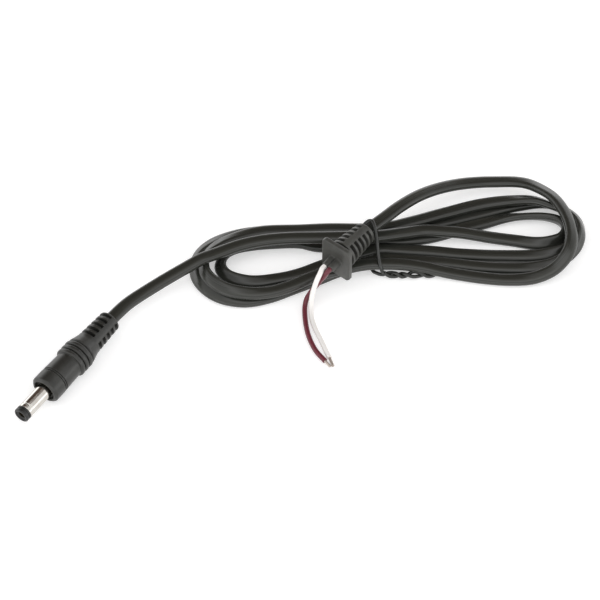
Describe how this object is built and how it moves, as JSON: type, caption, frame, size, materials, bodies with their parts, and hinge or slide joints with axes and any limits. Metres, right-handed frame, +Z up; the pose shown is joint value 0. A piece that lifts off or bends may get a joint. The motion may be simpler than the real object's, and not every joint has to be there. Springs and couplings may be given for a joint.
{
  "type": "dc barrel plug",
  "caption": "Moulded DC barrel plug on a flat twin cable wound into a tied hank, with a grommet and stripped leads.",
  "frame": {"origin": "under the middle of the plug, on the surface it lies on", "axes": "-X along the plug's axis out of its tip, the way it goes into a jack; +Z up from the surface"},
  "size_m": [0.1891, 0.1254, 0.021],
  "materials": {
    "black_moulding": "satin moulded PVC",
    "nickel": "bright nickel plate",
    "black_nylon": "moulded nylon",
    "contact_brass": "plated brass",
    "solder": "dull solder",
    "red_insulation": "extruded PVC",
    "white_insulation": "extruded PVC",
    "copper": "bare copper strands",
    "cable_jacket": "satin extruded PVC jacket",
    "tie_cover": "plastic covered wire",
    "relief_moulding": "satin moulded PVC",
    "tinned_copper": "tinned strands"
  },
  "bodies": {
    "root": {"plug_grip": "black_moulding", "barrel_sleeve": "nickel", "insulator": "black_nylon", "centre_contact": "contact_brass", "centre_solder": "solder", "sleeve_solder": "solder", "core_red": "red_insulation", "core_white": "white_insulation", "strands_red": "copper", "strands_white": "copper", "cord": "cable_jacket", "cord_hank": "cable_jacket", "cord_run": "cable_jacket", "twist_tie": "tie_cover", "grommet": "relief_moulding", "lead_white": "white_insulation", "lead_red": "red_insulation", "end_white": "tinned_copper", "end_red": "tinned_copper"}
  },
  "joints": []
}
